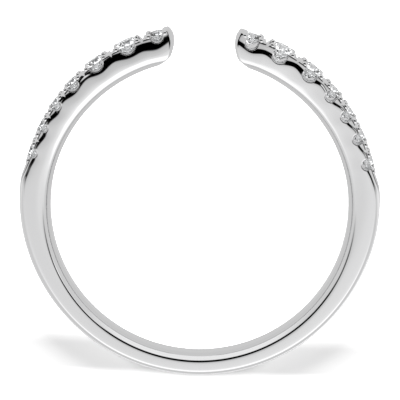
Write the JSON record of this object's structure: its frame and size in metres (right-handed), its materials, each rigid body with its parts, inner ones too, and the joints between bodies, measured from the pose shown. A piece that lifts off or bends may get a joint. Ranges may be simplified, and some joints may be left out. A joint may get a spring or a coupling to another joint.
{
  "type": "open diamond ring",
  "caption": "Open ring of polished white gold, its two arms set with round brilliants in scalloped settings with split prongs, resting on its side.",
  "frame": {"origin": "centre of the finger hole, at the middle of the band's width", "axes": "+Z along the finger axis and up, as the ring lies on its side; the gap between the tips faces +Y; +X to the right arm"},
  "size_m": [0.021, 0.0205, 0.0022],
  "materials": {
    "white_gold": "high polish",
    "diamond": "facet cut"
  },
  "bodies": {
    "root": {"band": "white_gold", "left_stone_1": "diamond", "left_stone_2": "diamond", "left_stone_3": "diamond", "left_stone_4": "diamond", "left_stone_5": "diamond", "left_stone_6": "diamond", "left_stone_7": "diamond", "right_stone_1": "diamond", "right_stone_2": "diamond", "right_stone_3": "diamond", "right_stone_4": "diamond", "right_stone_5": "diamond", "right_stone_6": "diamond", "right_stone_7": "diamond"}
  },
  "joints": []
}
